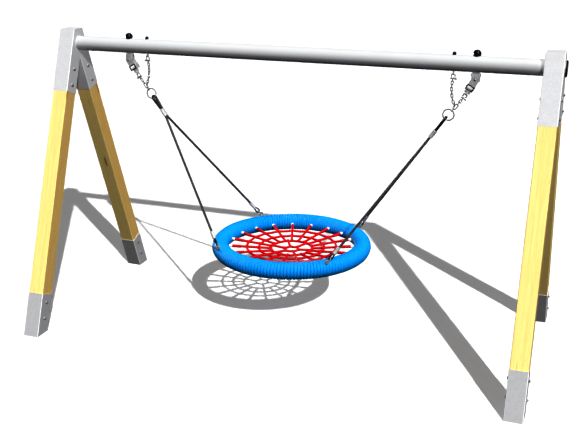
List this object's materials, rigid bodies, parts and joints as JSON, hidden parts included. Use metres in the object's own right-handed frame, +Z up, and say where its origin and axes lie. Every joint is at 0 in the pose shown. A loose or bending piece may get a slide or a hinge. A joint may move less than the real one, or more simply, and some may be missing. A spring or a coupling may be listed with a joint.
{
  "type": "nest swing set",
  "caption": "Nest swing: a round net seat on ropes hangs from two pivoting hangers under a steel beam on timber A-frames.",
  "frame": {"origin": "on the ground below the middle of the beam", "axes": "+X along the beam, +Y towards the back, +Z up"},
  "size_m": [3.7564, 1.7258, 2.217],
  "materials": {
    "laminated_pine": "pressure-treated, matt, with a warm yellow stain",
    "galvanised_sheet": "hot-dip galvanised sheet, satin with faint spangle",
    "shoe_sheet": "hot-dip galvanised sheet, dull and mottled",
    "beam_steel": "smooth zinc, satin",
    "bright_zinc": "bright zinc plated",
    "chain_steel": "bright stainless, polished",
    "hanger_steel": "galvanised forging, satin",
    "dark_steel": "dark galvanised forging, matt",
    "black_plastic": "black polyamide, satin",
    "black_hose": "black hose, satin",
    "black_rope": "twisted polyester over steel strands, matt",
    "ferrule_aluminium": "pressed aluminium, bright",
    "foam": "closed-cell foam",
    "blue_rope": "bright blue rope, wound turn by turn",
    "red_rope": "red braided rope, satin",
    "white_plastic": "white moulded plastic"
  },
  "bodies": {
    "root": {"beam_tube": "beam_steel", "frame_bolts": "bright_zinc", "frame_bolt_nuts": "bright_zinc", "swing_pins": "bright_zinc", "hanger_bolts": "bright_zinc", "hanger_caps": "black_plastic", "safety_eyebolts": "bright_zinc", "safety_nuts": "bright_zinc", "safety_caps": "black_plastic", "left_beam_cap": "black_plastic", "left_head_bracket": "galvanised_sheet", "left_front_post": "laminated_pine", "left_rear_post": "laminated_pine", "left_front_shoe": "shoe_sheet", "left_rear_shoe": "shoe_sheet", "left_bearing_block": "hanger_steel", "right_beam_cap": "black_plastic", "right_head_bracket": "galvanised_sheet", "right_front_post": "laminated_pine", "right_rear_post": "laminated_pine", "right_front_shoe": "shoe_sheet", "right_rear_shoe": "shoe_sheet", "right_bearing_block": "hanger_steel"},
    "left_hanger": {"left_yoke": "hanger_steel", "left_link": "hanger_steel", "left_window_frames": "black_plastic", "left_bearing_barrel": "bright_zinc", "left_tongue": "dark_steel", "left_shackle": "bright_zinc", "left_main_chain": "chain_steel", "left_hanging_ring": "bright_zinc", "left_safety_shackle": "bright_zinc", "left_safety_chain": "chain_steel", "left_hanger_pins": "bright_zinc"},
    "right_hanger": {"right_yoke": "hanger_steel", "right_link": "hanger_steel", "right_window_frames": "black_plastic", "right_bearing_barrel": "bright_zinc", "right_tongue": "dark_steel", "right_shackle": "bright_zinc", "right_main_chain": "chain_steel", "right_hanging_ring": "bright_zinc", "right_safety_shackle": "bright_zinc", "right_safety_chain": "chain_steel", "right_hanger_pins": "bright_zinc"},
    "seat": {"ferrules": "ferrule_aluminium", "left_front_rope": "black_rope", "left_rear_rope": "black_rope", "net": "red_rope", "net_clips": "white_plastic", "right_front_rope": "black_rope", "right_rear_rope": "black_rope", "ring_eyes": "black_hose", "seat_eyes": "bright_zinc", "seat_ring_foam": "foam", "seat_ring_tube": "bright_zinc", "seat_ring_winding": "blue_rope", "seat_shackle_pins": "bright_zinc", "seat_shackles": "bright_zinc", "thimbles": "black_hose"}
  },
  "joints": [
    {"name": "left_swing", "type": "hinge", "parent": "root", "child": "left_hanger", "pos_m": [-1.3, 0, 2.035], "axis": [1, 0, 0], "range_deg": [-60, 60]},
    {"name": "right_swing", "type": "hinge", "parent": "root", "child": "right_hanger", "pos_m": [1.3, 0, 2.035], "axis": [1, 0, 0], "range_deg": [-60, 60]},
    {"name": "seat_rock", "type": "hinge", "parent": "left_hanger", "child": "seat", "pos_m": [-1.1102, 0, 1.72297], "axis": [1, 0, 0], "range_deg": [-20, 20]}
  ],
  "couplings": [
    {"joint": "right_swing", "follows": "left_swing", "ratio": 1}
  ]
}
